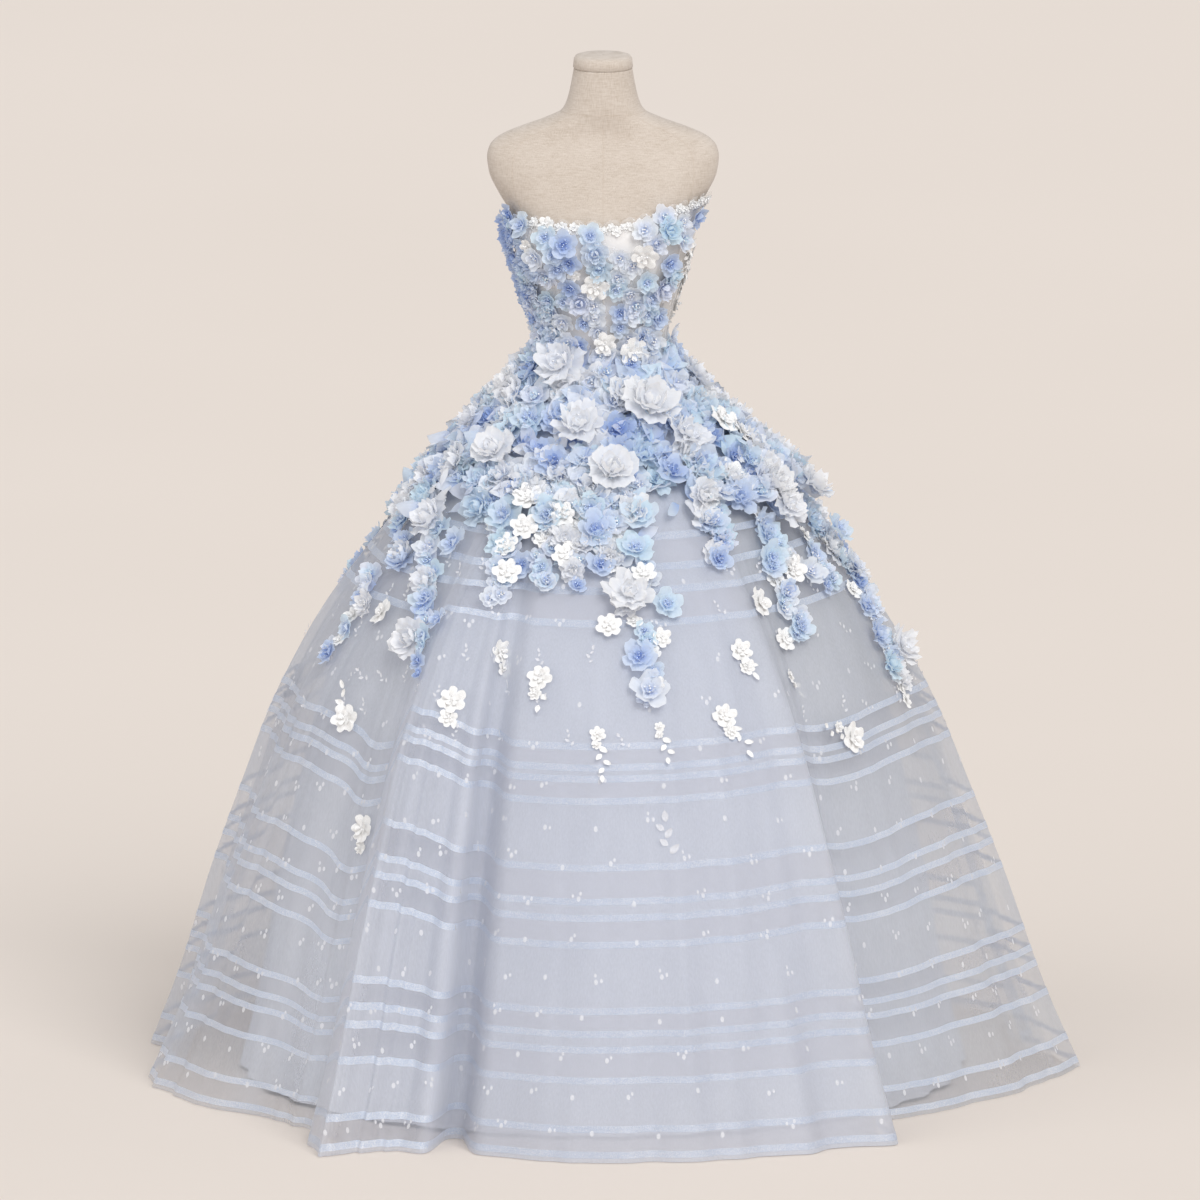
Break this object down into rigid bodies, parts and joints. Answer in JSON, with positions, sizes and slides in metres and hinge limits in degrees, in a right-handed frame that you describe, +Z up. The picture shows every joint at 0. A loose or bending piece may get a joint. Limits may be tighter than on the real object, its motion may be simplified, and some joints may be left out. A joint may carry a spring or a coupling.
{
  "type": "ball gown on a dress form",
  "caption": "Strapless ball gown with a full striped organza skirt over an underskirt, applied cloth flowers on bodice, hips and skirt, on a limbless linen dress form and round stand.",
  "frame": {"origin": "centre of the stand's underside, on the floor", "axes": "+Z up, -Y towards the wearer's front, +X towards the wearer's left side"},
  "size_m": [1.5235, 1.5291, 1.6993],
  "materials": {
    "form_linen": "plain woven",
    "stand_metal": "satin",
    "skirt_organza": "sheer",
    "underskirt_net": "sheer",
    "bodice_net": "matte",
    "white_lace": "matte",
    "flower_petals": "sheer"
  },
  "bodies": {
    "root": {"form_torso": "form_linen", "form_neck_cap": "form_linen", "stand_pole": "stand_metal", "stand_base": "stand_metal", "bodice_front": "bodice_net", "bodice_side_right": "bodice_net", "bodice_side_left": "bodice_net", "bodice_back_right": "bodice_net", "bodice_back_left": "bodice_net", "bodice_flowers": "flower_petals", "neckline_lace": "white_lace", "skirt_front": "skirt_organza", "skirt_right_front": "skirt_organza", "skirt_right_back": "skirt_organza", "skirt_back_right": "skirt_organza", "skirt_back_left": "skirt_organza", "skirt_left_back": "skirt_organza", "skirt_left_side": "skirt_organza", "skirt_left_front": "skirt_organza", "underskirt_1": "underskirt_net", "underskirt_2": "underskirt_net", "underskirt_3": "underskirt_net", "underskirt_4": "underskirt_net", "underskirt_5": "underskirt_net", "underskirt_6": "underskirt_net", "hip_flowers_front": "flower_petals", "hip_flowers_back": "flower_petals", "trail_left_outer": "flower_petals", "trail_left_inner": "flower_petals", "trail_left_front": "flower_petals", "trail_front_long": "flower_petals", "trail_front_right": "flower_petals", "trail_right_inner": "flower_petals", "trail_right_outer": "flower_petals", "trail_right_rear": "flower_petals", "trail_back_long": "flower_petals", "trail_back_left": "flower_petals", "trail_left_rear": "flower_petals", "lace_1": "white_lace", "lace_2": "white_lace", "lace_3": "white_lace", "lace_4": "white_lace", "lace_5": "white_lace", "lace_6": "white_lace", "lace_7": "white_lace", "lace_8": "white_lace", "lace_9": "white_lace", "lace_10": "white_lace", "lace_11": "white_lace", "lace_12": "white_lace"}
  },
  "joints": []
}
